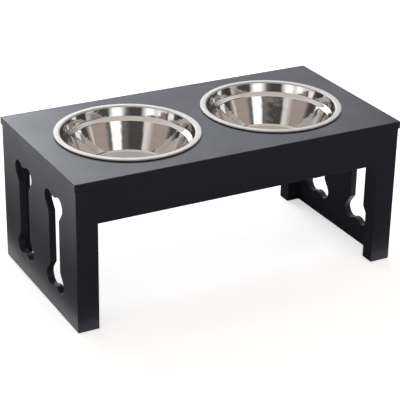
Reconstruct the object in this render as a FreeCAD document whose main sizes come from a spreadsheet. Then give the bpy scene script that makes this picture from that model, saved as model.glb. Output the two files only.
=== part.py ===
import FreeCAD, Part
import math
import os
import re
import Sketcher

# Elevated dog feeder: a low black table that holds two steel bowls by their rims.
# A board with two round holes stands on two end frames.
# Each end frame is a panel with two bone-shaped windows, and two posts inside it.
# Two aprons are pegged and glued under the board, and angle brackets screw it to the end panels.
# Millimetres, +X along the board, -Y to the front, +Z up, origin on the floor under the middle.

# Driving dimensions. The board's length and depth follow from the bowls and the margins round them.
SIZES = {
    # Board
    "overall_height": 254,
    "top_thickness": 12,
    "bowl_gap": 28,
    "bowl_end_margin": 40,
    "bowl_side_margin": 33,
    "end_reveal": 2,
    "edge_round": 1,
    # Aprons
    "apron_height": 60,
    "apron_thickness": 12,
    "apron_gap": 0.1,
    # End frames
    "panel_thickness": 12,
    "post_width": 24,
    "post_depth": 26,
    # Bone windows, whose length follows from the margins above and below them
    "bone_floor_margin": 37,
    "bone_top_margin": 39,
    "bone_gap": 56,
    "bone_shaft_width": 40,
    "bone_lobe_radius": 15,
    "bone_lobe_spacing": 38,
    "bone_neck": 8,
    "bone_notch": 5.5,
    # Bowls
    "bowl_rim_radius": 119,
    "bowl_rim_width": 10,
    "bowl_rim_skirt": 1.6,
    "bowl_rim_curl": 0.9,
    "bowl_band_depth": 14,
    "bowl_band_taper": 3.5,
    "bowl_ledge_width": 8,
    "bowl_ledge_drop": 4,
    "bowl_wall_taper": 20,
    "bowl_depth": 66,
    "bowl_corner": 5,
    "bowl_bend": 2.2,
    "bowl_wall": 0.7,
    "bowl_seat_gap": 0.2,
    "bowl_hole_clearance": 2.3,
    # Pegs and dowels
    "peg_diameter": 6,
    "peg_cover": 3.5,
    "peg_in_frame": 12,
    "dowel_half_length": 14,
    "peg_fit": 0.05,
    "peg_slack": 0.5,
    "peg_chamfer": 0.6,
    # Brackets and their screws
    "bracket_leg": 22,
    "bracket_width": 36,
    "bracket_thickness": 2,
    "bracket_bend": 1.5,
    "bracket_hole_margin": 8,
    "bracket_hole_clearance": 0.4,
    "bracket_post_gap": 6,
    "screw_diameter": 3.4,
    "screw_cover": 4,
    "screw_tip": 2.5,
    "screw_head_overhang": 1.8,
    "screw_head_height": 2.4,
    "screw_head_round": 1.4,
    "screw_slot_length": 4,
    "screw_slot_width": 0.9,
    "screw_slot_depth": 1.2,
    "screw_fit": 0.05,
    "screw_slack": 0.5,
    # Feet
    "foot_pad_height": 1.5,
    "foot_pad_diameter": 12,
    "foot_pad_round": 0.4,
}

SIDES = {"left": -1, "right": 1}
ENDS = {"front": -1, "rear": 1}
BOTH = (-1, 1)
CORNERS = [(s_name, s, e_name, e) for s_name, s in SIDES.items() for e_name, e in ENDS.items()]

# Sizes and places that several pieces share, worked out from the driving dimensions
TOP_LENGTH = "(4 * bowl_rim_radius + bowl_gap + 2 * bowl_end_margin)"
TOP_DEPTH = "(2 * bowl_rim_radius + 2 * bowl_side_margin)"
BOWL_X = "(bowl_rim_radius + bowl_gap / 2)"
BOWL_MOUTH = "(bowl_rim_radius - bowl_rim_width)"
BOWL_HOLE = f"({BOWL_MOUTH} + bowl_wall + bowl_hole_clearance)"
LEG_TOP = "(overall_height - top_thickness)"
LEG_HEIGHT = f"({LEG_TOP} - foot_pad_height)"
PANEL_DEPTH = f"({TOP_DEPTH} - 2 * end_reveal)"
PANEL_INNER_X = f"({TOP_LENGTH} / 2 - end_reveal - panel_thickness)"
PANEL_X = f"({PANEL_INNER_X} + panel_thickness / 2)"
POST_X = f"({PANEL_INNER_X} - post_width / 2)"
POST_Y = f"({PANEL_DEPTH} / 2 - post_depth / 2)"
FOOT_X = f"({PANEL_INNER_X} + (panel_thickness - post_width) / 2)"
APRON_LENGTH = f"(2 * ({PANEL_INNER_X} - post_width - apron_gap))"
APRON_Y = f"({PANEL_DEPTH} / 2 - apron_thickness / 2)"
APRON_END_X = f"({APRON_LENGTH} / 2 + apron_gap / 2)"
BRACKET_Y = f"({PANEL_DEPTH} / 2 - post_depth - bracket_post_gap - bracket_width / 2)"
BRACKET_REACH = "(bracket_leg - bracket_hole_margin)"
BRACKET_SPREAD = "(bracket_width / 2 - bracket_hole_margin)"
BONE_LENGTH = f"({LEG_TOP} - bone_floor_margin - bone_top_margin)"
BONE_Y = "(bone_gap / 2 + bone_lobe_spacing / 2 + bone_lobe_radius)"
BONE_Z = f"(bone_floor_margin + {BONE_LENGTH} / 2 - foot_pad_height)"

# Holes that a fastener fills, made from the fastener's own size
PEG_SOCKET = "(peg_diameter / 2 + peg_fit)"
DOWEL_DEPTH = "(dowel_half_length - apron_gap / 2 + peg_slack)"
SCREW_PILOT = "(screw_diameter / 2 + screw_fit)"

# Rows of fasteners. A share is of the length that they are spread along.
APRON_PEGS_X = [f"{share} * {APRON_LENGTH}" for share in (-0.375, -0.125, 0.125, 0.375)]
POST_PEGS_Z = [f"{share} * ({LEG_HEIGHT} - apron_height)" for share in (0.15, 0.5, 0.85)]
APRON_DOWELS_Z = [f"{share} * apron_height" for share in (0.25, 0.75)]
SCREWS_X = [f"{side} * ({PANEL_INNER_X} - {BRACKET_REACH})" for side in BOTH]
SCREWS_Y = [f"{end} * {BRACKET_Y} + {spread} * {BRACKET_SPREAD}" for end in BOTH for spread in BOTH]

Y_AXIS = FreeCAD.Vector(0, 1, 0)
Z_AXIS = FreeCAD.Vector(0, 0, 1)
NEAR = 1e-4

doc = FreeCAD.newDocument("feeder")
sheet = doc.addObject("Spreadsheet::Sheet", "Sizes")
for row, (alias, size) in enumerate(SIZES.items(), start=1):
    sheet.set(f"A{row}", alias)
    sheet.set(f"B{row}", str(size))
    sheet.setAlias(f"B{row}", alias)
doc.recompute()


# Expressions and bindings
def bound(text):
    """The text with each driving dimension written as a cell of the sheet."""
    return re.sub(r"[a-z_]+", lambda word: f"Sizes.{word[0]}" if word[0] in SIZES else word[0], text)


def value(text):
    """What an expression comes to, in millimetres."""
    return float(sheet.evalExpression(bound(text)))


def at(number, text):
    """True where a measured coordinate is the expression's value."""
    return abs(number - value(text)) < NEAR


def bind(thing, **properties):
    """Ties each property to an expression. Two underscores stand for a dot."""
    for name, text in properties.items():
        thing.setExpression(name.replace("__", "."), bound(text))


def place(thing, x="0", y="0", z="0", rotation=None):
    thing.Placement = FreeCAD.Placement(FreeCAD.Vector(), rotation or FreeCAD.Rotation())
    bind(thing, Placement__Base__x=x, Placement__Base__y=y, Placement__Base__z=z)


# Sketches
def new_body(label):
    body = doc.addObject("PartDesign::Body", label)
    body.Label = label
    return body


def new_sketch(body, role, offset="0"):
    """A sketch on one of the body's own origin planes, moved along its normal by offset."""
    sketch = body.newObject("Sketcher::SketchObject", "Sketch")
    plane = next(feature for feature in body.Origin.OriginFeatures if feature.Role == role)
    sketch.AttachmentSupport = (plane, [""])
    sketch.MapMode = "FlatFace"
    bind(sketch, AttachmentOffset__Base__z=offset)
    return sketch


def constrain(sketch, text, kind, *where):
    """Adds a dimension whose value is an expression."""
    index = sketch.addConstraint(Sketcher.Constraint(kind, *where, value(text)))
    sketch.setExpression(f"Constraints[{index}]", bound(text))


def pin_point(sketch, geometry, point, x, y):
    constrain(sketch, x, "DistanceX", -1, 1, geometry, point)
    constrain(sketch, y, "DistanceY", -1, 1, geometry, point)


def join(sketch, kind, *ends):
    sketch.addConstraint(Sketcher.Constraint(kind, *ends))


def draw_polygon(sketch, corners):
    """A closed outline through corners, each a pair of expressions."""
    points = [FreeCAD.Vector(value(x), value(y), 0) for x, y in corners]
    following = points[1:] + points[:1]
    lines = [sketch.addGeometry(Part.LineSegment(a, b)) for a, b in zip(points, following)]
    for index, (x, y) in enumerate(corners):
        join(sketch, "Coincident", lines[index - 1], 2, lines[index], 1)
        pin_point(sketch, lines[index], 1, x, y)


def draw_rectangle(sketch, width, height):
    """A rectangle centred on the sketch's origin."""
    left, right = f"-{width} / 2", f"{width} / 2"
    low, high = f"-{height} / 2", f"{height} / 2"
    draw_polygon(sketch, [(left, low), (right, low), (right, high), (left, high)])


def draw_circles(sketch, centres, radius):
    for x, y in centres:
        circle = Part.Circle(FreeCAD.Vector(value(x), value(y), 0), Z_AXIS, value(radius))
        geometry = sketch.addGeometry(circle)
        pin_point(sketch, geometry, 3, x, y)
        constrain(sketch, radius, "Radius", geometry)


def draw_bone(sketch, x, y):
    """An upright bone round the point x, y: a straight shaft, four lobes and a notch at each end.
    Each neck is the tangent from a corner of the shaft to a lobe.
    Each notch is an arc tangent to the two lobes beside it."""
    lobe_x = "(bone_lobe_spacing / 2)"
    lobe_y = f"({BONE_LENGTH} / 2 - bone_lobe_radius)"
    corner_x = "(bone_shaft_width / 2)"
    corner_y = f"({lobe_y} - bone_lobe_radius - bone_neck)"
    rise = "(bone_lobe_radius - bone_notch)"
    notch_radius = f"(({lobe_x} ^ 2 + {rise} ^ 2 - bone_lobe_radius ^ 2) / (2 * bone_notch))"
    notch_y = f"({lobe_y} + {rise} + {notch_radius})"

    # The right upper quarter gives the angles, and the others are its mirror images.
    middle = FreeCAD.Vector(value(x), value(y), 0)
    lobe = FreeCAD.Vector(value(lobe_x), value(lobe_y), 0)
    corner = FreeCAD.Vector(value(corner_x), value(corner_y), 0)
    radius = value("bone_lobe_radius")
    to_corner = corner - lobe
    neck_angle = math.atan2(to_corner.y, to_corner.x) + math.acos(radius / to_corner.Length)
    notch_angle = math.atan2(value(notch_y) - lobe.y, -lobe.x)
    touch = lobe + FreeCAD.Vector(math.cos(neck_angle), math.sin(neck_angle), 0) * radius

    def mirrored(point, across, along):
        return middle + FreeCAD.Vector(across * point.x, along * point.y, 0)

    def arc(centre, arc_radius, start, end):
        circle = Part.Circle(centre, Z_AXIS, arc_radius)
        return sketch.addGeometry(Part.ArcOfCircle(circle, start, end))

    def quarter(across, along):
        """A lobe and its neck. Gives the neck, and the lobe with its end at the notch."""
        ends = [math.atan2(along * math.sin(angle), across * math.cos(angle))
                for angle in (neck_angle, notch_angle)]
        neck_end, notch_end = (1, 2) if across == along else (2, 1)
        start, end = ends if across == along else reversed(ends)
        lobe_arc = arc(mirrored(lobe, across, along), radius, start, end)
        pin_point(sketch, lobe_arc, 3, f"{x} + {across} * {lobe_x}", f"{y} + {along} * {lobe_y}")
        constrain(sketch, "bone_lobe_radius", "Radius", lobe_arc)
        neck_line = Part.LineSegment(mirrored(corner, across, along), mirrored(touch, across, along))
        neck = sketch.addGeometry(neck_line)
        pin_point(sketch, neck, 1, f"{x} + {across} * {corner_x}", f"{y} + {along} * {corner_y}")
        join(sketch, "Tangent", neck, 2, lobe_arc, neck_end)
        return neck, (lobe_arc, notch_end)

    quarters = {(across, along): quarter(across, along) for across in BOTH for along in BOTH}
    for across in BOTH:
        shaft_line = Part.LineSegment(mirrored(corner, across, -1), mirrored(corner, across, 1))
        shaft = sketch.addGeometry(shaft_line)
        join(sketch, "Coincident", shaft, 1, quarters[across, -1][0], 1)
        join(sketch, "Coincident", shaft, 2, quarters[across, 1][0], 1)
    notch_spans = {1: (-notch_angle, notch_angle - math.pi), -1: (math.pi - notch_angle, notch_angle)}
    for along, (start, end) in notch_spans.items():
        centre = middle + FreeCAD.Vector(0, along * value(notch_y), 0)
        notch = arc(centre, value(notch_radius), start, end)
        constrain(sketch, notch_radius, "Radius", notch)
        join(sketch, "Tangent", notch, 1, *quarters[-along, along][1])
        join(sketch, "Tangent", notch, 2, *quarters[along, along][1])


# Features
def pad(body, sketch, length, both_ways=False):
    feature = body.newObject("PartDesign::Pad", "Pad")
    feature.Profile = sketch
    feature.SideType = "Symmetric" if both_ways else "One side"
    bind(feature, Length=length)
    doc.recompute()


def cut(body, sketch, depth, along_normal):
    """Cuts the sketch into the solid, along its plane's normal or against it.
    Checks that something went."""
    before = body.Shape.Volume
    feature = body.newObject("PartDesign::Pocket", "Pocket")
    feature.Profile = sketch
    feature.Reversed = along_normal
    bind(feature, Length=depth)
    doc.recompute()
    if not body.Shape.Volume < before - NEAR:
        raise RuntimeError(f"a cut in {body.Label} removed nothing")


def drill(body, role, offset, centres, radius, depth, along_normal):
    """Round holes that start on a plane of the body."""
    sketch = new_sketch(body, role, offset)
    draw_circles(sketch, centres, radius)
    cut(body, sketch, depth, along_normal)


def spin(body, sketch):
    feature = body.newObject("PartDesign::Revolution", "Revolution")
    feature.Profile = sketch
    feature.ReferenceAxis = (sketch, ["V_Axis"])
    feature.Angle = 360
    doc.recompute()


def ease(body, chosen, size, kind="Fillet"):
    """Rounds or chamfers the edges that chosen accepts, given each edge's own box."""
    base = body.Tip
    names = [f"Edge{i}" for i, edge in enumerate(base.Shape.Edges, start=1) if chosen(edge.BoundBox)]
    if not names:
        raise RuntimeError(f"{body.Label} has no edge to ease there")
    feature = body.newObject(f"PartDesign::{kind}", kind)
    feature.Base = (base, names)
    bind(feature, **{"Radius" if kind == "Fillet" else "Size": size})
    doc.recompute()
    if "Invalid" in feature.State:
        raise RuntimeError(f"{body.Label}: {feature.getStatusString()} on {len(names)} edges")


def board(label, width, depth, height):
    """A plain rectangular board, centred over its own origin and standing on it."""
    body = new_body(label)
    sketch = new_sketch(body, "XY_Plane")
    draw_rectangle(sketch, width, depth)
    pad(body, sketch, height)
    return body


def grouped(label, master, placings):
    """One node of identical pieces: a copy of the master for each placing."""
    copies = []
    for x, y, z, rotation in placings:
        copy = doc.addObject("App::Link", f"{label}_copy")
        copy.LinkedObject = master
        place(copy, x, y, z, rotation)
        copies.append(copy)
    group = doc.addObject("Part::Compound", label)
    group.Label = label
    group.Links = copies
    doc.recompute()
    return group


# Board on top
def top_board():
    """The board with a round hole for each bowl, and blind sockets underneath for pegs and screws."""
    body = board("top_board", TOP_LENGTH, TOP_DEPTH, "top_thickness")
    bowls = [(f"{side} * {BOWL_X}", "0") for side in BOTH]
    drill(body, "XY_Plane", "0", bowls, BOWL_HOLE, "top_thickness", along_normal=True)

    def exposed(box):
        """The edges round the upper face and the holes, and the upright edges at the corners."""
        upright_corner = at(abs(box.Center.x), f"{TOP_LENGTH} / 2") and box.YLength < NEAR
        return at(box.ZMin, "top_thickness") or upright_corner

    ease(body, exposed, "edge_round")
    pegs = [(x, f"{end} * {APRON_Y}") for x in APRON_PEGS_X for end in BOTH]
    drill(body, "XY_Plane", "0", pegs, PEG_SOCKET, "top_thickness - peg_cover", along_normal=True)
    screws = [(x, y) for x in SCREWS_X for y in SCREWS_Y]
    depth = "top_thickness - screw_cover + screw_slack"
    drill(body, "XY_Plane", "0", screws, SCREW_PILOT, depth, along_normal=True)
    place(body, z=LEG_TOP)
    return body


# Aprons
def apron(end_name, end):
    """A rail flush with the posts' faces, pegged up into the board and doweled to the posts."""
    body = board(f"{end_name}_apron", APRON_LENGTH, "apron_thickness", "apron_height")
    ease(body, lambda box: at(box.ZMax, "0") and box.XLength > NEAR, "edge_round")
    pegs = [(x, "0") for x in APRON_PEGS_X]
    drill(body, "XY_Plane", "apron_height", pegs, PEG_SOCKET, "peg_in_frame + peg_slack", along_normal=False)
    dowels = [("0", z) for z in APRON_DOWELS_Z]
    for side in BOTH:
        end_face = f"{side} * {APRON_LENGTH} / 2"
        drill(body, "YZ_Plane", end_face, dowels, PEG_SOCKET, DOWEL_DEPTH, along_normal=side < 0)
    place(body, y=f"{end} * {APRON_Y}", z=f"{LEG_TOP} - apron_height")
    return body


# End frames
def end_panel(side_name, side):
    """The panel that closes an end, with two bone windows that are rounded over on both faces."""
    body = board(f"{side_name}_end_panel", "panel_thickness", PANEL_DEPTH, LEG_HEIGHT)
    for end in BOTH:
        sketch = new_sketch(body, "YZ_Plane", "panel_thickness / 2")
        draw_bone(sketch, f"{end} * {BONE_Y}", BONE_Z)
        cut(body, sketch, "panel_thickness", along_normal=False)
    outer = f"{side} * panel_thickness / 2"
    inner = f"{-side} * panel_thickness / 2"

    def exposed(box):
        """The outline of the outer face, and both outlines of each window."""
        half_depth = value(f"{PANEL_DEPTH} / 2") - NEAR
        on_window = -box.YMin < half_depth and box.YMax < half_depth and box.ZMin > NEAR
        return box.XLength < NEAR and (at(box.XMin, outer) or on_window)

    ease(body, exposed, "edge_round")
    pegs = [(f"{end} * {POST_Y}", z) for end in BOTH for z in POST_PEGS_Z]
    drill(body, "YZ_Plane", inner, pegs, PEG_SOCKET, "panel_thickness - peg_cover", along_normal=side > 0)
    screws = [(y, f"{LEG_HEIGHT} - {BRACKET_REACH}") for y in SCREWS_Y]
    depth = "panel_thickness - screw_cover + screw_slack"
    drill(body, "YZ_Plane", inner, screws, SCREW_PILOT, depth, along_normal=side > 0)
    place(body, x=f"{side} * {PANEL_X}", z="foot_pad_height")
    return body


def post(side_name, side, end_name, end):
    """A corner post, glued and pegged to the inside of the panel and doweled to the apron."""
    body = board(f"{side_name}_{end_name}_post", "post_width", "post_depth", LEG_HEIGHT)
    panel_face = f"{side} * post_width / 2"
    apron_face = f"{-side} * post_width / 2"
    outside = f"{end} * post_depth / 2"
    inside = f"{-end} * post_depth / 2"

    def exposed(box):
        """The upright edge inside the feeder, and the upper edge on the outside.

        The upright edge beside the apron stays square, so that their joint closes.
        """
        upright = box.ZLength > NEAR and at(box.XMin, apron_face) and at(box.YMin, inside)
        upper = at(box.ZMin, LEG_HEIGHT) and at(box.YMin, outside) and at(box.YMax, outside)
        return upright or upper

    ease(body, exposed, "edge_round")
    pegs = [("0", z) for z in POST_PEGS_Z]
    depth = "peg_in_frame + peg_slack"
    drill(body, "YZ_Plane", panel_face, pegs, PEG_SOCKET, depth, along_normal=side < 0)
    dowel_y = f"{end} * ({APRON_Y} - {POST_Y})"
    dowels = [(dowel_y, f"{LEG_HEIGHT} - apron_height + {z}") for z in APRON_DOWELS_Z]
    drill(body, "YZ_Plane", apron_face, dowels, PEG_SOCKET, DOWEL_DEPTH, along_normal=side > 0)
    place(body, x=f"{side} * {POST_X}", y=f"{end} * {POST_Y}", z="foot_pad_height")
    return body


def foot_pad(side_name, side, end_name, end):
    """A thin round pad stuck under a corner, across the panel and its post."""
    body = new_body(f"{side_name}_{end_name}_foot_pad")
    sketch = new_sketch(body, "XY_Plane")
    draw_circles(sketch, [("0", "0")], "foot_pad_diameter / 2")
    pad(body, sketch, "foot_pad_height")
    ease(body, lambda box: at(box.ZMax, "0"), "foot_pad_round")
    place(body, x=f"{side} * {FOOT_X}", y=f"{end} * {POST_Y}")
    return body


# Pegs and dowels
def peg_master(label, length):
    """A wooden peg with chamfered ends, standing on its own origin."""
    body = new_body(label)
    sketch = new_sketch(body, "XY_Plane")
    draw_circles(sketch, [("0", "0")], "peg_diameter / 2")
    pad(body, sketch, length)
    ease(body, lambda box: box.ZLength < NEAR, "peg_chamfer", kind="Chamfer")
    return body


def apron_top_pegs():
    """Upright pegs that tie the aprons to the board."""
    master = peg_master("apron_peg", "peg_in_frame + top_thickness - peg_cover - peg_slack")
    placings = [(x, f"{end} * {APRON_Y}", f"{LEG_TOP} - peg_in_frame", None)
                for end in BOTH for x in APRON_PEGS_X]
    return grouped("apron_top_pegs", master, placings)


def apron_end_dowels():
    """Level dowels across the joints between the aprons and the posts."""
    master = peg_master("apron_dowel", "2 * dowel_half_length")
    along_x = FreeCAD.Rotation(Y_AXIS, 90)
    placings = [(f"{side} * {APRON_END_X} - dowel_half_length", f"{end} * {APRON_Y}",
                 f"{LEG_TOP} - apron_height + {z}", along_x)
                for side in BOTH for end in BOTH for z in APRON_DOWELS_Z]
    return grouped("apron_end_dowels", master, placings)


def post_pegs():
    """Level pegs that tie the posts to the panels, each pointing outwards into its panel."""
    master = peg_master("post_peg", "peg_in_frame + panel_thickness - peg_cover - peg_slack")
    placings = [(f"{side} * ({PANEL_INNER_X} - peg_in_frame)", f"{end} * {POST_Y}",
                 f"foot_pad_height + {z}", FreeCAD.Rotation(Y_AXIS, 90 * side))
                for side in BOTH for end in BOTH for z in POST_PEGS_Z]
    return grouped("post_pegs", master, placings)


# Brackets and screws
def bracket(side_name, side, end_name, end):
    """A wide steel angle beside a post, with one leg under the board and one down the panel."""
    body = new_body(f"{side_name}_{end_name}_bracket")
    sketch = new_sketch(body, "XZ_Plane")
    thick = "bracket_thickness"
    under = f"-{thick}"
    draw_polygon(sketch, [("0", "0"), ("0", "-bracket_leg"), (thick, "-bracket_leg"),
                          (thick, under), ("bracket_leg", under), ("bracket_leg", "0")])
    pad(body, sketch, "bracket_width", both_ways=True)

    def upright_at(x, z):
        """Chooses the long edge that this corner of the section sweeps."""
        def chosen(box):
            return at(box.XMin, x) and at(box.XMax, x) and at(box.ZMin, z) and at(box.ZMax, z)
        return chosen

    ease(body, upright_at(thick, under), "bracket_bend")
    ease(body, upright_at("0", "0"), f"bracket_bend + {thick}")
    radius = "screw_diameter / 2 + bracket_hole_clearance"
    spreads = [f"{spread} * {BRACKET_SPREAD}" for spread in BOTH]
    under_board = [(BRACKET_REACH, y) for y in spreads]
    on_panel = [(y, f"-{BRACKET_REACH}") for y in spreads]
    drill(body, "XY_Plane", "0", under_board, radius, thick, along_normal=False)
    drill(body, "YZ_Plane", "0", on_panel, radius, thick, along_normal=True)
    turn = FreeCAD.Rotation(Z_AXIS, 0 if side < 0 else 180)
    place(body, f"{side} * {PANEL_INNER_X}", f"{end} * {BRACKET_Y}", LEG_TOP, turn)
    return body


def screw_master(label, board_thickness):
    """A pan-head wood screw that points up, with its head under its own origin and a crossed slot."""
    body = new_body(label)
    sketch = new_sketch(body, "XZ_Plane")
    length = f"(bracket_thickness + {board_thickness} - screw_cover)"
    shank = "screw_diameter / 2"
    head = f"{shank} + screw_head_overhang"
    draw_polygon(sketch, [("0", "-screw_head_height"), (head, "-screw_head_height"), (head, "0"),
                          (shank, "0"), (shank, f"{length} - screw_tip"), ("0", length)])
    spin(body, sketch)
    ease(body, lambda box: at(box.ZMax, "-screw_head_height") and box.XLength > NEAR, "screw_head_round")
    slot = ("screw_slot_length", "screw_slot_width")
    for width, depth in (slot, slot[::-1]):
        sketch = new_sketch(body, "XY_Plane", "-screw_head_height")
        draw_rectangle(sketch, width, depth)
        cut(body, sketch, "screw_slot_depth", along_normal=True)
    return body


def bracket_top_screws():
    """Screws that point up through the brackets into the board."""
    placings = [(x, y, f"{LEG_TOP} - bracket_thickness", None) for x in SCREWS_X for y in SCREWS_Y]
    return grouped("bracket_top_screws", screw_master("top_screw", "top_thickness"), placings)


def bracket_panel_screws():
    """Screws that point outwards through the brackets into the panels."""
    placings = [(f"{side} * ({PANEL_INNER_X} - bracket_thickness)", y, f"{LEG_TOP} - {BRACKET_REACH}",
                 FreeCAD.Rotation(Y_AXIS, 90 * side)) for side in BOTH for y in SCREWS_Y]
    return grouped("bracket_panel_screws", screw_master("panel_screw", "panel_thickness"), placings)


# Bowls
def bowl(side_name, side):
    """A pressed steel bowl: flat floor, sloping wall, stacking ledge, upper band and a turned-down rim."""
    body = new_body(f"{side_name}_bowl")
    rim_top = "(bowl_seat_gap + bowl_rim_skirt + bowl_rim_curl + bowl_wall)"
    ledge_outer = f"({BOWL_MOUTH} - bowl_band_taper)"
    ledge_inner = f"({ledge_outer} - bowl_ledge_width)"
    inside = [
        (f"{ledge_inner} - bowl_wall_taper", "-bowl_depth"),
        (ledge_inner, "-bowl_band_depth - bowl_ledge_drop"),
        (ledge_outer, "-bowl_band_depth"),
        (BOWL_MOUTH, rim_top),
    ]
    outside = [(f"{r} + bowl_wall", f"{z} - bowl_wall") for r, z in inside]
    lip = [
        ("bowl_rim_radius", rim_top),
        ("bowl_rim_radius", "bowl_seat_gap"),
        ("bowl_rim_radius - bowl_wall", "bowl_seat_gap"),
        ("bowl_rim_radius - bowl_wall", f"{rim_top} - bowl_wall"),
    ]
    axis_low, axis_high = ("0", "-bowl_depth - bowl_wall"), ("0", "-bowl_depth")
    sketch = new_sketch(body, "XZ_Plane")
    draw_polygon(sketch, [axis_high] + inside + lip + outside[::-1] + [axis_low])
    spin(body, sketch)

    def bend(points, radius):
        """Rounds the edges that these corners of the profile sweep."""
        corners = [(value(r), value(z)) for r, z in points]

        def swept(edge_box):
            level = edge_box.ZLength < NEAR
            return level and any(abs(edge_box.ZMin - z) < NEAR and abs(edge_box.XMax - r) < NEAR
                                 for r, z in corners)

        ease(body, swept, radius)

    bend([inside[0]], "bowl_corner")
    bend([outside[0]], "bowl_corner + bowl_wall")
    bend([inside[2], outside[1], outside[3]], "bowl_bend")
    bend([inside[1], inside[3], outside[2]], "bowl_bend + bowl_wall")
    bend([lip[0]], "bowl_rim_curl + bowl_wall")
    bend([lip[3]], "bowl_rim_curl")
    place(body, x=f"{side} * {BOWL_X}", z="overall_height")
    return body


# The whole feeder
pieces = [top_board()]
pieces += [apron(name, sign) for name, sign in ENDS.items()]
pieces += [end_panel(name, sign) for name, sign in SIDES.items()]
for make in (post, bracket, foot_pad):
    pieces += [make(*corner) for corner in CORNERS]
pieces += [apron_top_pegs(), apron_end_dowels(), post_pegs(), bracket_top_screws(), bracket_panel_screws()]
pieces += [bowl(name, sign) for name, sign in SIDES.items()]
doc.recompute()

for thing in doc.Objects:
    if "Invalid" in thing.State or "Error" in thing.State:
        raise RuntimeError(f"{thing.Label} failed: {thing.State}")
for piece in pieces:
    if piece.Shape.isNull() or not piece.Shape.isValid() or not piece.Shape.Solids:
        raise RuntimeError(f"{piece.Label} is not a valid solid")

os.makedirs("parts", exist_ok=True)
for piece in pieces:
    piece.Shape.exportStep(f"parts/{piece.Label}.step")
    print(f"{piece.Label}: {len(piece.Shape.Solids)} solid, {piece.Shape.Volume / 1000:.2f} cm3")
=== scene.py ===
# %% [markdown]
# # An elevated dog feeder
# The feeder is a low table: a black board with two round holes, two end panels with bone-shaped
# windows, four posts and two aprons. A pressed steel bowl hangs by its rim in each hole. The frame
# already holds every piece at its real size, so this lesson dresses it. The boards, brackets, screws
# and pegs keep their own meshes and get a finish. The bowls are modelled again here, because a mirror
# shows every facet, and a regular net of faces bends a reflection cleanly.

# %% Load the frame
import math

import bpy
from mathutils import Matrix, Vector


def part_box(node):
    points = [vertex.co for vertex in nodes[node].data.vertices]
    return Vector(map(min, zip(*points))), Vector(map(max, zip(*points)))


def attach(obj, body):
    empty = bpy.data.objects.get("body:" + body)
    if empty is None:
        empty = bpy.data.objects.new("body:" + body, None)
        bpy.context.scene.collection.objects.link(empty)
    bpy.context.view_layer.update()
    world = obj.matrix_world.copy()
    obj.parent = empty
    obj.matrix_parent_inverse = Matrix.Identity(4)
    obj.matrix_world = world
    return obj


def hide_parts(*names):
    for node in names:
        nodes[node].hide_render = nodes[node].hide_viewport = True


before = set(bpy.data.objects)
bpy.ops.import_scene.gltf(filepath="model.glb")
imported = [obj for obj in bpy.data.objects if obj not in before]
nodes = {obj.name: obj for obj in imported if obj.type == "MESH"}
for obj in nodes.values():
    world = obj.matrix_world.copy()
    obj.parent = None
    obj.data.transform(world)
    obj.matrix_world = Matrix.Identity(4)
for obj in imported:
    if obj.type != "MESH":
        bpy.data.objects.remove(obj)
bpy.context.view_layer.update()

MM = 0.001
bpy.context.scene.view_settings.view_transform = "Standard"

# %% [markdown]
# ## Small helpers for shader nodes
# A finish is a tree of nodes. Written out in full, each node takes a line for its kind, one for every
# setting and one for every link. Two short helpers keep the later cells readable: one adds a node and
# fills its inputs, the other starts a node group, which is a finish effect that several materials
# share.


# %% Node helpers
def fill(tree, socket, source):
    """Links a socket to another socket, or sets it to a plain value."""
    if isinstance(source, bpy.types.NodeSocket):
        tree.links.new(source, socket)
    else:
        socket.default_value = source


def add_node(tree, kind, inputs=None, **settings):
    """Adds a node, sets its own settings, and fills its inputs by name or by number."""
    node = tree.nodes.new(kind)
    for name, setting in settings.items():
        setattr(node, name, setting)
    for name, source in (inputs or {}).items():
        fill(tree, node.inputs[name], source)
    return node


def calculate(tree, operation, *values):
    """One step of arithmetic on sockets or numbers."""
    node = add_node(tree, "ShaderNodeMath", dict(enumerate(values)), operation=operation)
    return node.outputs["Value"]


def stretch_range(tree, value, low, high, to_low=0.0, to_high=1.0):
    """Maps low..high to to_low..to_high, and holds what lies outside."""
    inputs = {"Value": value, "From Min": low, "From Max": high, "To Min": to_low, "To Max": to_high}
    return add_node(tree, "ShaderNodeMapRange", inputs).outputs["Result"]


def noise(tree, vector, scale, detail=2.0, roughness=0.5):
    """A cloud of values from 0 to 1. The scale is in clouds per metre."""
    inputs = {"Vector": vector, "Scale": scale, "Detail": detail, "Roughness": roughness}
    return add_node(tree, "ShaderNodeTexNoise", inputs).outputs["Fac"]


def new_group(name, inputs, outputs):
    """Starts a node group of named numbers. Gives its tree, its inlets and its outlets."""
    tree = bpy.data.node_groups.new(name, "ShaderNodeTree")
    for label, start in inputs.items():
        kind = "NodeSocketVector" if isinstance(start, tuple) else "NodeSocketFloat"
        tree.interface.new_socket(label, in_out="INPUT", socket_type=kind).default_value = start
    for label in outputs:
        tree.interface.new_socket(label, in_out="OUTPUT", socket_type="NodeSocketFloat")
    inlet = tree.nodes.new("NodeGroupInput").outputs
    outlet = tree.nodes.new("NodeGroupOutput").inputs
    return tree, inlet, outlet
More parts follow.
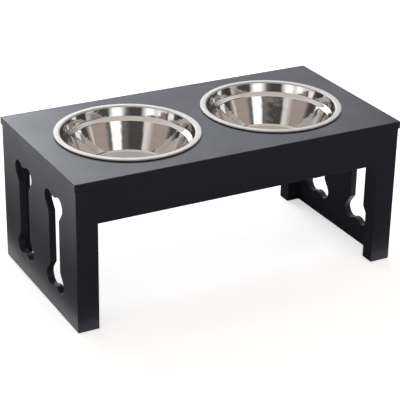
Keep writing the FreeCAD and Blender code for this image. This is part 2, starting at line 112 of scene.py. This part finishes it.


# %% [markdown]
# ## Effects that several finishes share
# Paint, steel and rubber look real when a few small things vary: a sharp edge is a little paler, which is
# wear on the zinc and the rubber and, on the black paint, part wear and part painted highlight; handling
# leaves a soft haze in the gloss; and a sprayed or moulded skin is slightly pebbled. Each of these is built
# once as a node group with named inputs, and each material places it with its own values. The groups read
# Object coordinates, so the patterns stay on the pieces when they move.

# %% Edge wear and painted sheen
# The Bevel node rounds the normal near an edge, so it differs from the true normal only there.
# The mask pales edges: real wear on zinc and rubber, partly a painted highlight on the black paint.
tree, inlet, outlet = new_group("edge_wear_and_sheen", {"Radius": 1.5 * MM, "Breakup": 300.0}, ["Mask"])
rounded = add_node(tree, "ShaderNodeBevel", {"Radius": inlet["Radius"]}, samples=6).outputs["Normal"]
true_normal = add_node(tree, "ShaderNodeNewGeometry").outputs["Normal"]
likeness = add_node(tree, "ShaderNodeVectorMath", {0: rounded, 1: true_normal}, operation="DOT_PRODUCT")
bend = stretch_range(tree, likeness.outputs["Value"], 0.995, 0.9)
place = add_node(tree, "ShaderNodeTexCoord").outputs["Object"]
patches = stretch_range(tree, noise(tree, place, inlet["Breakup"], 3.0), 0.35, 0.65, 0.25, 1.0)
fill(tree, outlet["Mask"], calculate(tree, "MULTIPLY", bend, patches))
edge_wear_and_sheen = tree
print("group:", edge_wear_and_sheen.name)

# %% Handling haze
tree, inlet, outlet = new_group("handling_haze", {"Cloud Size": 0.05}, ["Mask"])
place = add_node(tree, "ShaderNodeTexCoord").outputs["Object"]
clouds = noise(tree, place, calculate(tree, "DIVIDE", 1.0, inlet["Cloud Size"]), 4.0, 0.6)
fill(tree, outlet["Mask"], stretch_range(tree, clouds, 0.3, 0.7))
handling_haze = tree
print("group:", handling_haze.name)

# %% Pebbled skin
tree, inlet, outlet = new_group("pebbled_skin", {"Pebble Size": 1.2 * MM}, ["Height"])
place = add_node(tree, "ShaderNodeTexCoord").outputs["Object"]
per_metre = calculate(tree, "DIVIDE", 1.0, inlet["Pebble Size"])
fine = noise(tree, place, per_metre, 1.0)
broad = noise(tree, place, calculate(tree, "MULTIPLY", per_metre, 0.2), 1.0)
fill(tree, outlet["Height"], calculate(tree, "ADD", fine, calculate(tree, "MULTIPLY", broad, 1.5)))
pebbled_skin = tree
print("group:", pebbled_skin.name)

# %% [markdown]
# ## Marks of the polishing wheel
# A pressed bowl is spun against a wheel, which leaves fine lines round its axis. Both bowls stand on
# the X axis at the same distance from the middle, so the absolute value of x, less that distance,
# centres one pattern on both. The pattern follows radius and height only, so each line is a ring.

# %% Turned lines
bowl_low, bowl_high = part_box("right_bowl")
bowl_middle = (bowl_low.x + bowl_high.x) / 2

tree, inlet, outlet = new_group("turned_lines", {"Line Width": 0.3 * MM}, ["Lines", "Bands"])
place = add_node(tree, "ShaderNodeTexCoord").outputs["Object"]
axes = add_node(tree, "ShaderNodeSeparateXYZ", {"Vector": place}).outputs
from_middle = calculate(tree, "SUBTRACT", calculate(tree, "ABSOLUTE", axes["X"]), bowl_middle)
along_squared = calculate(tree, "POWER", from_middle, 2.0)
across_squared = calculate(tree, "POWER", axes["Y"], 2.0)
radius = calculate(tree, "SQRT", calculate(tree, "ADD", along_squared, across_squared))
along_profile = add_node(tree, "ShaderNodeCombineXYZ", {"X": radius, "Z": axes["Z"]}).outputs["Vector"]
per_metre = calculate(tree, "DIVIDE", 1.0, inlet["Line Width"])
fill(tree, outlet["Lines"], noise(tree, along_profile, per_metre, 3.0, 0.7))
fill(tree, outlet["Bands"], noise(tree, along_profile, calculate(tree, "MULTIPLY", per_metre, 0.05), 2.0))
turned_lines = tree
print("group:", turned_lines.name, "centred at x =", round(bowl_middle, 4))


# %% [markdown]
# ## A start for every finish
# Each finish is one Principled shader. What is the same all over is set on the shader's own sockets,
# and what changes over the surface reaches Base Color, Roughness or Normal through nodes.

# %% Material helpers
def new_finish(name, **constants):
    """A material with one Principled shader. Gives the material, its tree and the shader."""
    material = bpy.data.materials.new(name)
    material.use_nodes = True
    tree = material.node_tree
    shader = tree.nodes["Principled BSDF"]
    for socket, value in constants.items():
        shader.inputs[socket.replace("_", " ")].default_value = value
    return material, tree, shader


def place_group(tree, group, **values):
    """Places a shared effect in a material with its own values, and gives its outputs."""
    node = add_node(tree, "ShaderNodeGroup", node_tree=group)
    for label, value in values.items():
        fill(tree, node.inputs[label.replace("_", " ")], value)
    return node.outputs


def blend_colours(tree, share, first, second):
    """Mixes two colours by a share from 0 to 1."""
    node = add_node(tree, "ShaderNodeMix", {"Factor": share}, data_type="RGBA")
    for label, colour in (("A", first), ("B", second)):
        socket = next(s for s in node.inputs if s.name == label and s.type == "RGBA")
        fill(tree, socket, colour)
    return next(s for s in node.outputs if s.type == "RGBA")


def emboss(tree, shader, *patterns):
    """Presses height patterns into the shader's normal, each with its depth in metres."""
    normal = None
    for height, depth in patterns:
        bump = add_node(tree, "ShaderNodeBump", {"Height": height, "Distance": depth, "Strength": 1.0})
        if normal:
            fill(tree, bump.inputs["Normal"], normal)
        normal = bump.outputs["Normal"]
    fill(tree, shader.inputs["Normal"], normal)


def dress(names, material):
    """Gives CAD nodes a finish in place of their plain one."""
    for name in names:
        nodes[name].data.materials.clear()
        nodes[name].data.materials.append(material)
    print(material.name, "on", ", ".join(names))


# %% [markdown]
# ## Black satin paint
# The boards are painted a satin black with a hint of blue. From the side they are almost black, but the
# film of paint is smooth enough that a low light runs over the top as a grey sheen. So the base colour
# is dark, the roughness is middling, and the grey is left to the lights. A fine pebble from the spray
# gun breaks the sheen.

# %% Paint
paint, tree, shader = new_finish("black_satin_paint", IOR=1.48, Specular_Tint=(0.80, 0.84, 1.0, 1.0))
edges = place_group(tree, edge_wear_and_sheen, Radius=1.2 * MM, Breakup=250.0)["Mask"]
haze = place_group(tree, handling_haze, Cloud_Size=0.06)["Mask"]
pebbles = place_group(tree, pebbled_skin, Pebble_Size=1.4 * MM)["Height"]
painted_black = (0.0205, 0.0197, 0.0268, 1.0)
# The paint's edges are blended to a paler grey: part wear, part painted highlight where light catches them.
edge_wear_and_sheen_grey = (0.035, 0.035, 0.042, 1.0)
fill(tree, shader.inputs["Base Color"], blend_colours(tree, edges, painted_black, edge_wear_and_sheen_grey))
fill(tree, shader.inputs["Roughness"], stretch_range(tree, haze, 0.0, 1.0, 0.36, 0.42))
emboss(tree, shader, (pebbles, 0.004 * MM))

painted = [n for n in nodes if n.endswith(("_board", "_apron", "_panel", "_post"))]
dress(painted, paint)

# %% [markdown]
# ## Zinc on the brackets and screws
# The angle brackets and the screw heads sit underneath, out of sight until the feeder is turned over.
# They are zinc plated: pale grey, a little blue, in flakes that catch the light differently. Voronoi
# cells make the flakes.

# %% Zinc
dull_zinc = (0.47, 0.49, 0.52, 1.0)
bright_zinc = (0.60, 0.62, 0.65, 1.0)
bare_steel = (0.75, 0.75, 0.75, 1.0)


def zinc(name, flake_size, roughness):
    """Plated steel in flakes of a size in metres. A flake's roughness goes up a little from the one given."""
    material, tree, shader = new_finish(name, Metallic=1.0)
    place = add_node(tree, "ShaderNodeTexCoord").outputs["Object"]
    flakes = add_node(tree, "ShaderNodeTexVoronoi", {"Vector": place, "Scale": 1.0 / flake_size})
    tone = add_node(tree, "ShaderNodeSeparateColor", {"Color": flakes.outputs["Color"]}).outputs["Red"]
    edges = place_group(tree, edge_wear_and_sheen, Radius=0.6 * MM, Breakup=900.0)["Mask"]
    plated = blend_colours(tree, tone, dull_zinc, bright_zinc)
    fill(tree, shader.inputs["Base Color"], blend_colours(tree, edges, plated, bare_steel))
    fill(tree, shader.inputs["Roughness"], stretch_range(tree, tone, 0.0, 1.0, roughness, roughness + 0.15))
    emboss(tree, shader, (place_group(tree, pebbled_skin, Pebble_Size=0.5 * MM)["Height"], 0.003 * MM))
    return material


dress([n for n in nodes if n.endswith("_bracket")], zinc("zinc_plate", 3.0 * MM, 0.28))
dress([n for n in nodes if n.endswith("_screws")], zinc("zinc_screws", 1.2 * MM, 0.22))

# %% [markdown]
# ## Beech pegs and rubber pads
# The pegs hide in the joints. They are turned beech: pale, with fine dark flecks drawn out along the
# grain. The pads under the corners are black rubber, dull and finely pebbled from their mould.

# %% Beech
beech, tree, shader = new_finish("beech_pegs")
place = add_node(tree, "ShaderNodeTexCoord").outputs["Object"]
along_grain = (1.0, 1.0, 0.12)
drawn_out = add_node(tree, "ShaderNodeMapping", {"Vector": place, "Scale": along_grain}).outputs["Vector"]
flecks = noise(tree, drawn_out, 1600.0, 4.0, 0.6)
grain = stretch_range(tree, flecks, 0.35, 0.65)
pale_beech = (0.66, 0.49, 0.30, 1.0)
dark_fleck = (0.48, 0.32, 0.18, 1.0)
fill(tree, shader.inputs["Base Color"], blend_colours(tree, grain, dark_fleck, pale_beech))
fill(tree, shader.inputs["Roughness"], stretch_range(tree, grain, 0.0, 1.0, 0.7, 0.55))
emboss(tree, shader, (flecks, 0.03 * MM))
dress(["apron_top_pegs", "apron_end_dowels", "post_pegs"], beech)

# %% Rubber
rubber, tree, shader = new_finish("foot_rubber")
edges = place_group(tree, edge_wear_and_sheen, Radius=0.5 * MM, Breakup=800.0)["Mask"]
haze = place_group(tree, handling_haze, Cloud_Size=4.0 * MM)["Mask"]
moulded = (0.025, 0.025, 0.026, 1.0)
scuffed = (0.08, 0.08, 0.08, 1.0)
fill(tree, shader.inputs["Base Color"], blend_colours(tree, edges, moulded, scuffed))
fill(tree, shader.inputs["Roughness"], stretch_range(tree, haze, 0.0, 1.0, 0.65, 0.85))
emboss(tree, shader, (place_group(tree, pebbled_skin, Pebble_Size=0.4 * MM)["Height"], 0.02 * MM))
dress([n for n in nodes if n.endswith("_foot_pad")], rubber)

# %% [markdown]
# ## Bowl steel
# The inside of a bowl is polished to a sharp mirror. The press leaves a slow swell in the sheet, so
# what the wall mirrors stands in upright streaks whose edges waver. The flat of the rim is rubbed to a
# white satin. The outside is left duller, and there the wheel's fine rings smear a light across
# themselves. An anisotropic shader gives this: its tangent runs round the axis, and a quarter turn of
# the anisotropy lays the smear across the rings.

# %% Steel
SWELLS_PER_METRE = 70.0
ACROSS_THE_RINGS = 0.25


def steel(name, colour, roughness, spread, anisotropy, groove, ripple, swell):
    """Turned steel. Groove, ripple and swell are the depths of the wheel's lines, of rings in the sheet
    and of slow waves in it, in metres."""
    material, tree, shader = new_finish(name, Metallic=1.0, Anisotropic=anisotropy,
                                        Anisotropic_Rotation=ACROSS_THE_RINGS)
    marks = place_group(tree, turned_lines, Line_Width=0.35 * MM)
    haze = place_group(tree, handling_haze, Cloud_Size=0.03)["Mask"]
    shade = stretch_range(tree, marks["Bands"], 0.3, 0.7)
    darker = tuple(0.9 * channel for channel in colour[:3]) + (1.0,)
    fill(tree, shader.inputs["Base Color"], blend_colours(tree, shade, darker, colour))
    dull = calculate(tree, "ADD", marks["Lines"], haze)
    fill(tree, shader.inputs["Roughness"], stretch_range(tree, dull, 0.4, 1.5, roughness, roughness + spread))
    around = add_node(tree, "ShaderNodeTangent", direction_type="RADIAL", axis="Z").outputs["Tangent"]
    fill(tree, shader.inputs["Tangent"], around)
    place = add_node(tree, "ShaderNodeTexCoord").outputs["Object"]
    waves = noise(tree, place, SWELLS_PER_METRE, 1.0)
    emboss(tree, shader, (waves, swell), (marks["Bands"], ripple), (marks["Lines"], groove))
    return material


inside_steel = steel("bowl_inside_steel", (0.76, 0.75, 0.74, 1.0), roughness=0.03, spread=0.02,
                     anisotropy=0.0, groove=0.003 * MM, ripple=0.02 * MM, swell=0.16 * MM)
rim_steel = steel("bowl_rim_steel", (0.72, 0.72, 0.71, 1.0), roughness=0.66, spread=0.06, anisotropy=0.0,
                  groove=0.004 * MM, ripple=0.01 * MM, swell=0.02 * MM)
outside_steel = steel("bowl_outside_steel", (0.62, 0.61, 0.60, 1.0), roughness=0.36, spread=0.10,
                      anisotropy=0.7, groove=0.01 * MM, ripple=0.02 * MM, swell=0.06 * MM)
print("steels:", inside_steel.name, rim_steel.name, outside_steel.name)

# %% [markdown]
# ## Modelling a bowl
# A press draws the bowl from one flat disc, and modelling can follow the press. A circle is the floor.
# Its edge is extruded and scaled up the wall, out over the stacking ledge, up the band and out along
# the rim, and turned down and under at the lip. Each bend is then bevelled round, and Solidify gives
# the sheet its thickness on the outer side, so the inside keeps the drawn sizes. The other way,
# spinning a profile, gives the same net, but extruding shows each stage of the press.

# %% The profile
# Radius and height of each bend, the height measured from the top of the board, and the radius of the bend.
board_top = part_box("top_board")[1].z
rim_top = bowl_high.z - board_top
rim_radius = (bowl_high.x - bowl_low.x) / 2
sheet_thickness = 0.7 * MM
floor_height = bowl_low.z + sheet_thickness - board_top
lip_height = 0.2 * MM
bead_radius = (rim_top - lip_height) / 2
bead_bend = 0.98 * bead_radius
rim_width = 10.0 * MM
band_taper, band_depth = 3.5 * MM, 14.0 * MM
ledge_width, ledge_drop = 8.0 * MM, 4.0 * MM
wall_taper = 20.0 * MM
corner_bend, ledge_inside_bend, ledge_outside_bend, mouth_bend = 5.0 * MM, 2.9 * MM, 2.2 * MM, 2.9 * MM
mouth_radius = rim_radius - rim_width
ledge_outside = mouth_radius - band_taper
ledge_inside = ledge_outside - ledge_width
floor_edge = ledge_inside - wall_taper
bends = [
    (floor_edge, floor_height, corner_bend),
    (ledge_inside, -band_depth - ledge_drop, ledge_inside_bend),
    (ledge_outside, -band_depth, ledge_outside_bend),
    (mouth_radius, rim_top, mouth_bend),
    (rim_radius, rim_top, bead_bend),
    (rim_radius, lip_height, bead_bend),
]
sheet_end = (rim_radius - bead_radius, lip_height)
print("floor at", round(floor_height / MM, 2), "mm, rim at", round(rim_top / MM, 2), "mm")


# %% Extrude the sheet
RING_POINTS = 192


def pick_only(obj):
    """Leaves one object selected and active."""
    bpy.ops.object.select_all(action="DESELECT")
    obj.select_set(True)
    bpy.context.view_layer.objects.active = obj


def pick_ring(obj, radius, height, reach=0.05 * MM):
    """In edit mode, selects the edges of one ring by its radius and height."""
    bpy.ops.mesh.select_all(action="DESELECT")
    bpy.ops.object.mode_set(mode="OBJECT")
    mesh = obj.data
    on_ring = [abs(v.co.xy.length - radius) < reach and abs(v.co.z - height) < reach for v in mesh.vertices]
    for edge in mesh.edges:
        edge.select = all(on_ring[v] for v in edge.vertices)
    bpy.ops.object.mode_set(mode="EDIT")


bpy.ops.object.select_all(action="DESELECT")
start_radius, start_height, _ = bends[0]
bpy.ops.mesh.primitive_circle_add(vertices=RING_POINTS, radius=start_radius, fill_type="NGON")
bowl = bpy.context.object
bowl.name = "left_bowl_pressing"
bpy.ops.object.mode_set(mode="EDIT")
bpy.ops.mesh.select_mode(type="EDGE")
bpy.ops.transform.translate(value=(0, 0, start_height))
stations = [(radius, height) for radius, height, _ in bends] + [sheet_end]
for (radius, height), (next_radius, next_height) in zip(stations, stations[1:]):
    pick_ring(bowl, radius, height)
    bpy.ops.mesh.extrude_edges_move()
    grow = next_radius / radius
    bpy.ops.transform.resize(value=(grow, grow, 1), center_override=(0, 0, height))
    bpy.ops.transform.translate(value=(0, 0, next_height - height))
print("sheet:", len(bowl.data.vertices), "points before its bends are rounded")

# %% Round the bends
# A bevel is as wide as the bend's radius times the tangent of half its turn.
DEGREES_PER_STEP = 7
FEWEST_STEPS = 4
for index, (radius, height, bend_radius) in enumerate(bends):
    arrive = Vector((radius, height)) - Vector(stations[index - 1] if index else (0, start_height))
    leave = Vector(stations[index + 1]) - Vector((radius, height))
    turn = arrive.angle(leave)
    pick_ring(bowl, radius, height)
    steps = max(FEWEST_STEPS, round(math.degrees(turn) / DEGREES_PER_STEP))
    bpy.ops.mesh.bevel(offset=bend_radius * math.tan(turn / 2), segments=steps, profile=0.5, affect="EDGES")
print("sheet:", len(bowl.data.vertices), "points with its bends rounded")

# %% [markdown]
# ## Floor, thickness and second bowl
# The floor of a drawn bowl is never quite flat: it rises a little at the middle. Insetting the floor in
# rings and lifting each one gives that crown, and poking the last small face closes the middle. The two
# bowls are alike, so the second is a copy with its own mesh, moved in edit mode so that both objects
# stay at the origin.

# %% Crown the floor
FLOOR_RINGS = 9
CROWN = 0.6 * MM
bpy.ops.mesh.select_mode(type="FACE")
bpy.ops.mesh.select_all(action="DESELECT")
bpy.ops.object.mode_set(mode="OBJECT")
floor_face = max(bowl.data.polygons, key=lambda face: len(face.vertices))
floor_face.select = True
floor_radius = max(bowl.data.vertices[v].co.xy.length for v in floor_face.vertices)
bpy.ops.object.mode_set(mode="EDIT")
step = floor_radius / (FLOOR_RINGS + 1)
for ring in range(1, FLOOR_RINGS + 1):
    outer, inner = 1 - (ring - 1) / FLOOR_RINGS, 1 - ring / FLOOR_RINGS
    lift = CROWN * (outer ** 2 - inner ** 2)
    bpy.ops.mesh.inset(thickness=step, depth=0)
    bpy.ops.transform.translate(value=(0, 0, lift))
bpy.ops.mesh.poke()
bpy.ops.mesh.select_all(action="SELECT")
bpy.ops.mesh.remove_doubles(threshold=0.001 * MM)
bpy.ops.object.mode_set(mode="OBJECT")
print("floor crowned by", round(CROWN / MM, 2), "mm inside a radius of", round(floor_radius / MM, 1), "mm")

# %% Thickness and finishes
# Solidify gives each outer face the finish two slots after its inner one.
for material in (inside_steel, rim_steel, outside_steel, outside_steel):
    bowl.data.materials.append(material)
rim_starts = mouth_radius - 1.2 * MM
for face in bowl.data.polygons:
    face.material_index = 1 if face.center.xy.length > rim_starts and face.center.z > 0 else 0
pick_only(bowl)
sheet = bowl.modifiers.new("sheet", "SOLIDIFY")
sheet.thickness = sheet_thickness
sheet.offset = -1.0
sheet.use_even_offset = True
sheet.material_offset = 2
sheet.material_offset_rim = 1
bpy.ops.object.modifier_apply(modifier=sheet.name)
bpy.ops.object.shade_smooth_by_angle(angle=math.radians(35))
bpy.ops.object.mode_set(mode="EDIT")
bpy.ops.mesh.select_all(action="SELECT")
bpy.ops.transform.translate(value=(-bowl_middle, 0, board_top))
bpy.ops.object.mode_set(mode="OBJECT")

# %% The second bowl
second_bowl = bowl.copy()
second_bowl.data = bowl.data.copy()
second_bowl.name = "right_bowl_pressing"
bpy.context.scene.collection.objects.link(second_bowl)
pick_only(second_bowl)
bpy.ops.object.mode_set(mode="EDIT")
bpy.ops.mesh.select_all(action="SELECT")
bpy.ops.transform.translate(value=(2 * bowl_middle, 0, 0))
bpy.ops.object.mode_set(mode="OBJECT")
for side, piece in (("left", bowl), ("right", second_bowl)):
    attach(piece, f"{side}_bowl")
    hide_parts(f"{side}_bowl")
    print(piece.name, len(piece.data.polygons), "faces")

# %% [markdown]
# ## Joint lines
# The board lies on the legs and paint does not bridge the joint, so the open joint shows as a thin line of
# shadow over each leg. The aprons fit tight and show none. Each line is painted shadow: a thin dark bar, a
# cube scaled to size and laid along the joint, just proud of the leg's face and well under the board's
# edge.

# %% Shadow bars
BAR_HEIGHT = 1.4 * MM
BAR_DEPTH = 0.8 * MM
PROUD = 0.1 * MM
# The bars are painted shadow: matte black strips where the open joint falls into shade.
joint_shadow_black = (0.004, 0.004, 0.005, 1.0)
painted_joint_shadow = new_finish("painted_joint_shadow", Base_Color=joint_shadow_black, Roughness=0.9, Specular_IOR_Level=0.1)[0]
for side in ("left", "right"):
    panel_low, panel_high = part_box(f"{side}_end_panel")
    for end, outward in (("front", -1), ("rear", 1)):
        post_low, post_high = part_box(f"{side}_{end}_post")
        low_x, high_x = min(panel_low.x, post_low.x), max(panel_high.x, post_high.x)
        face_y = post_low.y if outward < 0 else post_high.y
        middle_y = face_y + outward * (PROUD - BAR_DEPTH / 2)
        middle = ((low_x + high_x) / 2, middle_y, post_high.z - BAR_HEIGHT / 2)
        bpy.ops.object.select_all(action="DESELECT")
        bpy.ops.mesh.primitive_cube_add(size=1.0, location=middle)
        bar = bpy.context.object
        bar.name = f"{side}_{end}_joint_shadow_line"
        bar.scale = (high_x - low_x - 2 * PROUD, BAR_DEPTH, BAR_HEIGHT)
        bpy.ops.object.transform_apply(location=True, scale=True)
        bar.data.materials.append(painted_joint_shadow)
        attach(bar, "stand")
        print(bar.name, round((high_x - low_x) / MM, 1), "mm long")

# %% [markdown]
# ## Floor and room
# The feeder stands on a plain pale floor. The floor's own colour is a soft white, and a little more
# white is added for what the camera and the mirrors see, so that it reads as paper while its shadow
# stays. The room round it is drawn on the world by direction. Steel is only as lively as what it
# mirrors. The middles of the bowls' walls mirror the front of the room well above the floor, their
# sides and the upper bands mirror what stands lower, and the ledges and the bowls' floors mirror the
# ceiling. So the room has three belts of tones, one above the other, with white panels and dark gaps,
# and a plain ceiling.

# %% Floor
bpy.ops.object.select_all(action="DESELECT")
FLOOR_SIZE = 60.0
FLOOR_DROP = 0.2 * MM
FLOOR_GLOW = 0.60
paper_white = (0.85, 0.85, 0.85, 1.0)
bpy.ops.mesh.primitive_plane_add(size=FLOOR_SIZE, location=(0, 0, -FLOOR_DROP))
floor = bpy.context.object
floor.name = "floor"
paper = bpy.data.materials.new("paper_floor")
paper.use_nodes = True
tree = paper.node_tree
tree.nodes.clear()
ray = add_node(tree, "ShaderNodeLightPath").outputs
seen = calculate(tree, "MAXIMUM", ray["Is Camera Ray"], ray["Is Glossy Ray"])
seen = calculate(tree, "MAXIMUM", seen, ray["Is Transmission Ray"])
soft_white = add_node(tree, "ShaderNodeBsdfDiffuse", {"Color": paper_white}).outputs["BSDF"]
glow = calculate(tree, "MULTIPLY", seen, FLOOR_GLOW)
added = add_node(tree, "ShaderNodeEmission", {"Strength": glow}).outputs["Emission"]
both = add_node(tree, "ShaderNodeAddShader", {0: soft_white, 1: added}).outputs["Shader"]
add_node(tree, "ShaderNodeOutputMaterial", {"Surface": both})
floor.data.materials.append(paper)
print("floor:", FLOOR_SIZE, "m across")

# %% Room
# Angles run from the front, positive to the feeder's left. Each stop is an angle in degrees and a tone.
white_panel = (2.3, 2.3, 2.3)
white = (1.5, 1.5, 1.5)
pale = (0.85, 0.83, 0.81)
beige = (0.72, 0.64, 0.59)
warm = (0.44, 0.36, 0.32)
shade = (0.18, 0.17, 0.16)
dark_gap = (0.08, 0.075, 0.073)
low_belt = [
    (-180, pale), (-150, warm), (-110, shade), (-99, dark_gap), (-93, pale), (-84, white), (-77, white),
    (-73, dark_gap), (-66, dark_gap), (-60, warm), (-32, dark_gap), (-9, dark_gap), (2, white),
    (12, white), (23, shade), (31, dark_gap), (48, dark_gap), (60, white), (68, white), (74, pale),
    (82, white), (95, pale), (113, pale), (119, dark_gap), (130, dark_gap), (134, white), (142, white),
    (147, shade), (156, shade), (165, pale), (180, pale),
]
middle_belt = [
    (-180, white_panel), (-178, white_panel), (-170, dark_gap), (-62, dark_gap), (-56, warm),
    (-52, pale), (-48, warm), (-22, warm), (-16, shade), (-11, shade), (-7, white), (9, white),
    (14, shade), (20, shade), (30, dark_gap), (56, dark_gap), (61, pale), (67, pale), (72, beige),
    (80, warm), (108, warm), (114, shade), (118, dark_gap), (140, dark_gap), (148, pale),
    (155, white_panel), (180, white_panel),
]
high_belt = [
    (-180, warm), (-120, warm), (-112, pale), (-90, pale), (-80, dark_gap), (-42, dark_gap),
    (-30, beige), (70, beige), (80, pale), (120, pale), (126, dark_gap), (134, dark_gap), (142, pale),
    (176, pale), (180, warm),
]
ceiling = (0.70, 0.65, 0.61, 1.0)
world = bpy.context.scene.world or bpy.data.worlds.new("room")
bpy.context.scene.world = world
world.use_nodes = True
tree = world.node_tree
tree.nodes.clear()
direction = add_node(tree, "ShaderNodeTexCoord").outputs["Generated"]
axes = add_node(tree, "ShaderNodeSeparateXYZ", {"Vector": direction}).outputs
leftward = calculate(tree, "MULTIPLY", axes["X"], -1.0)
frontward = calculate(tree, "MULTIPLY", axes["Y"], -1.0)
angle = calculate(tree, "ARCTAN2", leftward, frontward)
share = stretch_range(tree, angle, -math.pi, math.pi)


def belt(tones):
    """A band of tones all round the room."""
    ramp = add_node(tree, "ShaderNodeValToRGB", {"Fac": share})
    stops = ramp.color_ramp.elements
    while len(stops) < len(tones):
        stops.new(0.5)
    for stop, (degrees, tone) in zip(stops, tones):
        stop.position = (degrees + 180) / 360
        stop.color = (*tone, 1.0)
    return ramp.outputs["Color"]


def above(room, higher, start_degrees, full_degrees):
    """Lays one tone over another above a height, given as angles over the floor."""
    low, high = math.sin(math.radians(start_degrees)), math.sin(math.radians(full_degrees))
    return blend_colours(tree, stretch_range(tree, axes["Z"], low, high), room, higher)


horizon = (1.0, 1.0, 1.0, 1.0)
room = above(horizon, belt(low_belt), 1.0, 3.0)
room = above(room, belt(middle_belt), 10.5, 13.0)
room = above(room, belt(high_belt), 28.0, 33.0)
room = above(room, ceiling, 52.0, 62.0)
light = add_node(tree, "ShaderNodeBackground", {"Color": room, "Strength": 1.0}).outputs["Background"]
add_node(tree, "ShaderNodeOutputWorld", {"Surface": light})
print("belts:", len(low_belt), len(middle_belt), len(high_belt), "tones")

# %% [markdown]
# ## Softboxes
# Two soft lamps stand side by side behind the feeder, out of the picture. They lay the grey sheen over
# its top, brighter at the left, and show as a white patch on the bowls' ledges. A softbox is an area
# lamp that the camera can't see, aimed at the feeder. Its power is worked out from the brightness that
# its face should have, because a lamp of twice the area needs twice the power.


# %% Lamps
DAYLIGHT = (0.93, 0.96, 1.0)


def softbox(name, turn, rise, distance, width, height, brightness):
    """An area lamp at a turn from the front, positive to the left, and a rise above the floor, in degrees."""
    lamp = bpy.data.lights.new(name, "AREA")
    lamp.shape = "RECTANGLE"
    lamp.size = width
    lamp.size_y = height
    lamp.energy = brightness * math.pi * width * height
    lamp.color = DAYLIGHT
    stand = bpy.data.objects.new(name, lamp)
    bpy.context.scene.collection.objects.link(stand)
    level = distance * math.cos(math.radians(rise))
    turned = math.radians(turn)
    aim = Vector((0, 0, board_top))
    lift = distance * math.sin(math.radians(rise))
    offset = Vector((-level * math.sin(turned), -level * math.cos(turned), lift))
    stand.location = aim + offset
    stand.rotation_euler = offset.to_track_quat("Z", "Y").to_euler()
    stand.visible_camera = False


softbox("back_softbox", turn=197, rise=29, distance=2.6, width=2.3, height=0.46, brightness=5.2)
softbox("left_back_softbox", turn=181, rise=29, distance=2.5, width=1.1, height=0.46, brightness=10.0)

# %% [markdown]
# ## Dark cards
# A painted face mirrors the floor before it, and white paper there would lift the black to grey.
# Photographers lay dark cards on the floor, just out of the picture. Here a wide card lies in front, a
# narrow one beside the left end, and one under the feeder and behind it, which the faces inside mirror;
# that one is painted shadow, the floor's shade under the feeder as the reflections see it.
# They are hidden from the camera and cast no shadow, so only mirrors and gloss see them.

# %% Cards
felt = new_finish("dark_felt", Base_Color=(0.03, 0.03, 0.033, 1.0), Roughness=0.95)[0]


def dark_card(name, low, high):
    """A flat card on the floor between two corners, given as x and y."""
    bpy.ops.object.select_all(action="DESELECT")
    middle = [(a + b) / 2 for a, b in zip(low, high)]
    bpy.ops.mesh.primitive_plane_add(size=1.0, location=(*middle, FLOOR_DROP))
    card = bpy.context.object
    card.name = name
    card.scale = (high[0] - low[0], high[1] - low[1], 1.0)
    bpy.ops.object.transform_apply(location=True, scale=True)
    card.data.materials.append(felt)
    card.visible_camera = False
    card.visible_diffuse = False
    card.visible_shadow = False
    print(name, "from", low, "to", high)


dark_card("front_card", (-1.15, -1.78), (1.85, -0.18))
dark_card("left_card", (-0.46, -0.18), (-0.31, 1.20))
# This card is painted shadow: a dark sheet standing for the shaded floor under the feeder, seen only in
# reflections.
dark_card("floor_shadow_card", (-0.27, -0.15), (0.29, 0.75))

# %% [markdown]
# ## Camera
# The camera stands to the left of the front, well back with a long lens, so the board's edges run
# nearly parallel. Its place was worked out from the corners of the board and the legs in the
# photograph. A slight roll follows the photograph, whose upright edges lean.

# %% Camera
EYE = (-1.04515, -1.92451, 1.12752)
AIM = (0.00117, 0.0, 0.10693)
LENS = 128.9924
ROLL = 1.081
SENSOR = 36.0
camera_data = bpy.data.cameras.new("camera")
camera_data.lens = LENS
camera_data.sensor_width = SENSOR
camera = bpy.data.objects.new("camera", camera_data)
bpy.context.scene.collection.objects.link(camera)
camera.location = EYE
look = (Vector(AIM) - Vector(EYE)).to_track_quat("-Z", "Y")
camera.rotation_euler = look.to_euler()
camera.rotation_euler.rotate_axis("Z", math.radians(ROLL))
bpy.context.scene.camera = camera
print("camera at", [round(v, 3) for v in EYE], "lens", LENS)
